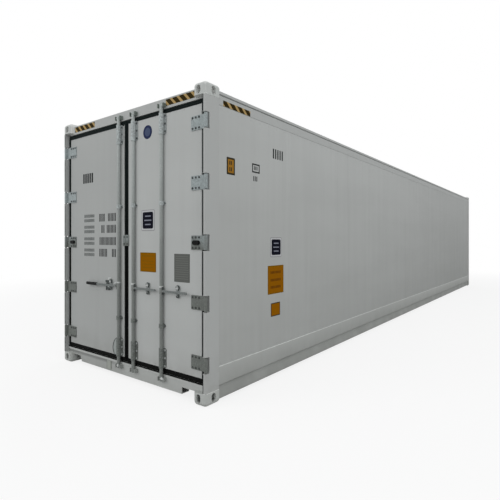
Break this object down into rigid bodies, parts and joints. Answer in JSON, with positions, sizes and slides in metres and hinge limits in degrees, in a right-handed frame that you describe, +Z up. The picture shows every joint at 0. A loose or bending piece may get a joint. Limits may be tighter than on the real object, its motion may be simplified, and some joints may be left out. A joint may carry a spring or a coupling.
{
  "type": "shipping container",
  "caption": "Long insulated high-cube freight container with flat sides, hollow corner castings and hinged end doors held shut by turning lock rods with lift handles.",
  "frame": {"origin": "middle of the footprint, on the ground plane under the bottom corner castings", "axes": "+X along the length from the door end to the closed end, +Y across towards the left door as the picture shows it, +Z up"},
  "size_m": [12.192, 2.438, 2.896],
  "materials": {
    "casting_paint": "grey paint on cast steel, worn at the edges",
    "frame_paint": "satin light grey paint on steel",
    "wall_paint": "satin light grey paint on sheet",
    "roof_paint": "satin light grey paint, dusty",
    "door_paint": "satin light grey paint on sheet",
    "lining_steel": "mill finish stainless sheet",
    "underfloor_coating": "dark underfloor coating",
    "floor_aluminium": "bare extruded aluminium",
    "seal_rubber": "matt black rubber",
    "galvanised_steel": "dull galvanised steel",
    "hinge_pin_steel": "plain steel",
    "rod_steel": "galvanised tube",
    "grip_plastic": "matt black moulded grip"
  },
  "bodies": {
    "container": {"bottom_corner_castings": "casting_paint", "top_corner_castings": "casting_paint", "door_header": "frame_paint", "door_sill": "frame_paint", "front_header": "frame_paint", "front_sill": "frame_paint", "right_door_post": "frame_paint", "left_door_post": "frame_paint", "right_front_post": "frame_paint", "left_front_post": "frame_paint", "right_top_rail": "frame_paint", "left_top_rail": "frame_paint", "right_bottom_rail": "frame_paint", "left_bottom_rail": "frame_paint", "right_hinge_pins": "hinge_pin_steel", "left_hinge_pins": "hinge_pin_steel", "right_side_wall": "wall_paint", "left_side_wall": "wall_paint", "front_wall": "wall_paint", "roof": "roof_paint", "right_wall_lining": "lining_steel", "left_wall_lining": "lining_steel", "front_wall_lining": "lining_steel", "ceiling_lining": "lining_steel", "floor_slab": "underfloor_coating", "t_bar_floor": "floor_aluminium", "cross_members": "frame_paint", "header_cam_keepers": "galvanised_steel", "sill_cam_keepers": "galvanised_steel"},
    "right_door": {"right_door_leaf": "door_paint", "right_door_seal": "seal_rubber", "right_hinge_straps": "galvanised_steel", "right_lap_plate": "galvanised_steel", "right_rod_brackets": "galvanised_steel", "right_handle_retainers": "galvanised_steel"},
    "left_door": {"left_door_leaf": "door_paint", "left_door_seal": "seal_rubber", "left_hinge_straps": "galvanised_steel", "left_lap_plate": "galvanised_steel", "left_rod_brackets": "galvanised_steel", "left_handle_retainer": "galvanised_steel"},
    "right_inner_rod": {"right_inner_lock_rod": "rod_steel"},
    "right_outer_rod": {"right_outer_lock_rod": "rod_steel"},
    "left_rod": {"left_lock_rod": "rod_steel"},
    "right_inner_lever": {"right_inner_handle": "rod_steel"},
    "right_outer_lever": {"right_outer_handle": "rod_steel"},
    "left_lever": {"left_handle": "rod_steel", "left_handle_grip": "grip_plastic"}
  },
  "joints": [
    {"name": "right_door_swing", "type": "hinge", "parent": "container", "child": "right_door", "pos_m": [-6.074, -1.201, 0], "axis": [0, 0, 1], "range_deg": [0, 260]},
    {"name": "left_door_swing", "type": "hinge", "parent": "container", "child": "left_door", "pos_m": [-6.074, 1.201, 0], "axis": [0, 0, -1], "range_deg": [0, 260]},
    {"name": "right_inner_rod_turn", "type": "hinge", "parent": "right_door", "child": "right_inner_rod", "pos_m": [-6.072, -0.14892, 0], "axis": [0, 0, 1], "range_deg": [-90, 0]},
    {"name": "right_outer_rod_turn", "type": "hinge", "parent": "right_door", "child": "right_outer_rod", "pos_m": [-6.072, -0.59514, 0], "axis": [0, 0, 1], "range_deg": [-90, 0]},
    {"name": "left_rod_turn", "type": "hinge", "parent": "left_door", "child": "left_rod", "pos_m": [-6.072, 0.10692, 0], "axis": [0, 0, -1], "range_deg": [-90, 0]},
    {"name": "right_inner_lever_lift", "type": "hinge", "parent": "right_inner_rod", "child": "right_inner_lever", "pos_m": [-6.082, -0.18692, 0.988], "axis": [-1, 0, 0], "range_deg": [0, 20]},
    {"name": "right_outer_lever_lift", "type": "hinge", "parent": "right_outer_rod", "child": "right_outer_lever", "pos_m": [-6.082, -0.63314, 0.988], "axis": [-1, 0, 0], "range_deg": [0, 20]},
    {"name": "left_lever_lift", "type": "hinge", "parent": "left_rod", "child": "left_lever", "pos_m": [-6.082, 0.14492, 0.988], "axis": [1, 0, 0], "range_deg": [0, 20]}
  ]
}
